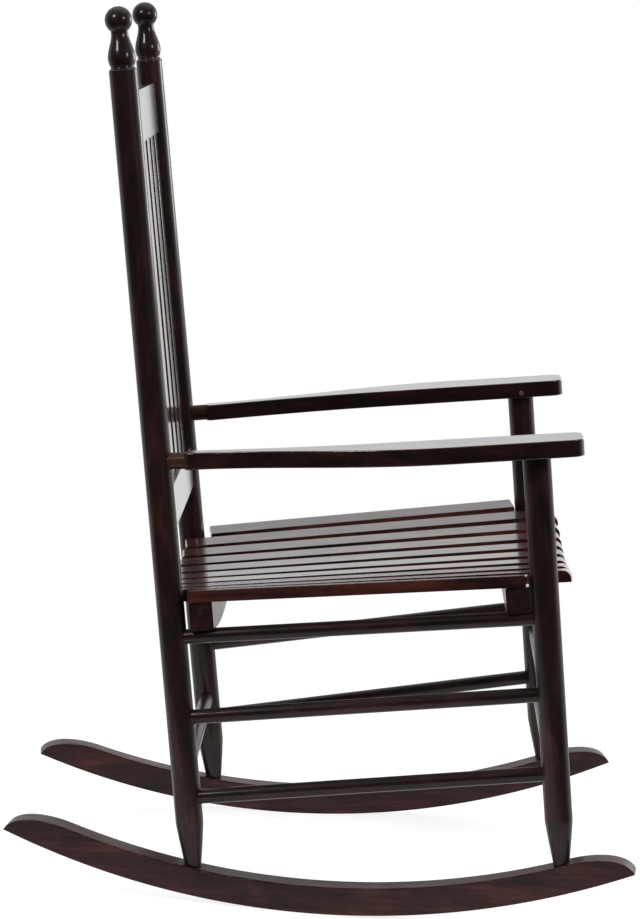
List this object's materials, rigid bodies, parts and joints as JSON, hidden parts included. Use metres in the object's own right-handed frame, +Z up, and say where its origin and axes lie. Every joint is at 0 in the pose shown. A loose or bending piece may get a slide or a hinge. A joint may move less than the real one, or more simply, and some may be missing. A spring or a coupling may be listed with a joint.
{
  "type": "rocking chair",
  "caption": "Slatted wooden rocking chair with turned posts, ball finials, flat armrests, a dished slat seat and arc-shaped rockers splayed towards the front.",
  "frame": {"origin": "on the floor, under the middle of the rockers' length", "axes": "+X to the sitter's left, +Y to the back of the chair, +Z up; the sitter faces -Y"},
  "size_m": [0.662, 0.8228, 1.1493],
  "materials": {
    "frame_wood": "glossy dark espresso lacquer",
    "rocker_wood": "satin dark mahogany lacquer",
    "slat_wood": "glossy reddish dark lacquer",
    "screw_steel": "zinc plated",
    "pin_wood": "worn light wood"
  },
  "bodies": {
    "root": {"rocker_right": "rocker_wood", "rocker_left": "rocker_wood", "rear_post_right": "frame_wood", "rear_post_left": "frame_wood", "front_post_right": "frame_wood", "front_post_left": "frame_wood", "armrest_right": "frame_wood", "armrest_left": "frame_wood", "lower_rung_right": "frame_wood", "lower_rung_left": "frame_wood", "middle_rung_right": "frame_wood", "middle_rung_left": "frame_wood", "upper_rung_right": "frame_wood", "upper_rung_left": "frame_wood", "lower_front_stretcher": "frame_wood", "upper_front_stretcher": "frame_wood", "rear_stretcher": "frame_wood", "front_seat_rail": "frame_wood", "rear_seat_rail": "frame_wood", "seat_slat_1": "slat_wood", "seat_slat_2": "slat_wood", "seat_slat_3": "slat_wood", "seat_slat_4": "slat_wood", "seat_slat_5": "slat_wood", "seat_slat_6": "slat_wood", "seat_slat_7": "slat_wood", "seat_slat_8": "slat_wood", "seat_slat_9": "slat_wood", "seat_slat_10": "slat_wood", "crest_rail": "frame_wood", "lower_back_rail": "frame_wood", "back_slat_1": "slat_wood", "back_slat_2": "slat_wood", "back_slat_3": "slat_wood", "back_slat_4": "slat_wood", "back_slat_5": "slat_wood", "back_slat_6": "slat_wood", "seat_screws": "screw_steel", "rail_screws": "screw_steel", "rocker_screws": "screw_steel", "arm_pins": "pin_wood", "back_pins": "pin_wood"}
  },
  "joints": []
}
